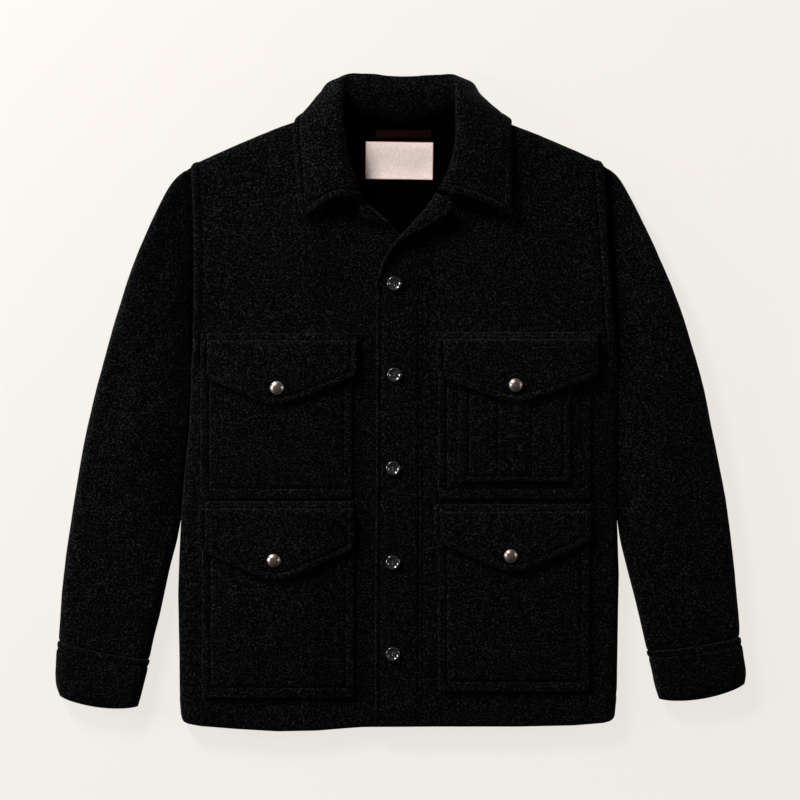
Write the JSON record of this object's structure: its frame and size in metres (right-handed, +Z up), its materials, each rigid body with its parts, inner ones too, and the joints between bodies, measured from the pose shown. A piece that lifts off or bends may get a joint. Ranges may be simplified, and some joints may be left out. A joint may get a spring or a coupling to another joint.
{
  "type": "mackinaw jacket laid flat",
  "caption": "Heavy wool mackinaw work jacket laid flat on its back, with turned-down collar, buttoned front, flapped patch pockets and cuffed sleeves.",
  "frame": {"origin": "on the flat underside of the back, at the middle of the laid-out jacket", "axes": "+X towards the wearer's left, +Y from hem to collar, +Z up from the surface that it lies on"},
  "size_m": [0.865, 0.8234, 0.0378],
  "materials": {
    "wool": "thick fulled charcoal-black wool with fine pale flecks and a short nap",
    "label": "cream woven label, bare, with a fine red edge stitch",
    "loop_tape": "dark burgundy twill tape",
    "button": "glossy black, raised rim",
    "snap": "antiqued dark copper, worn bright on the dome"
  },
  "bodies": {
    "root": {"back": "wool", "front_right": "wool", "front_left": "wool", "sleeve_right": "wool", "sleeve_left": "wool", "cuff_right": "wool", "cuff_left": "wool", "collar": "wool", "lapel_left": "wool", "lapel_right": "wool", "pocket_chest_right": "wool", "pocket_chest_left": "wool", "pocket_lower_right": "wool", "pocket_lower_left": "wool", "pocket_utility": "wool", "flap_chest_right": "wool", "flap_chest_left": "wool", "flap_lower_right": "wool", "flap_lower_left": "wool", "label": "label", "hanger_loop": "loop_tape", "button_1": "button", "button_2": "button", "button_3": "button", "button_4": "button", "button_5": "button", "snap_chest_right": "snap", "snap_chest_left": "snap", "snap_lower_right": "snap", "snap_lower_left": "snap"}
  },
  "joints": []
}
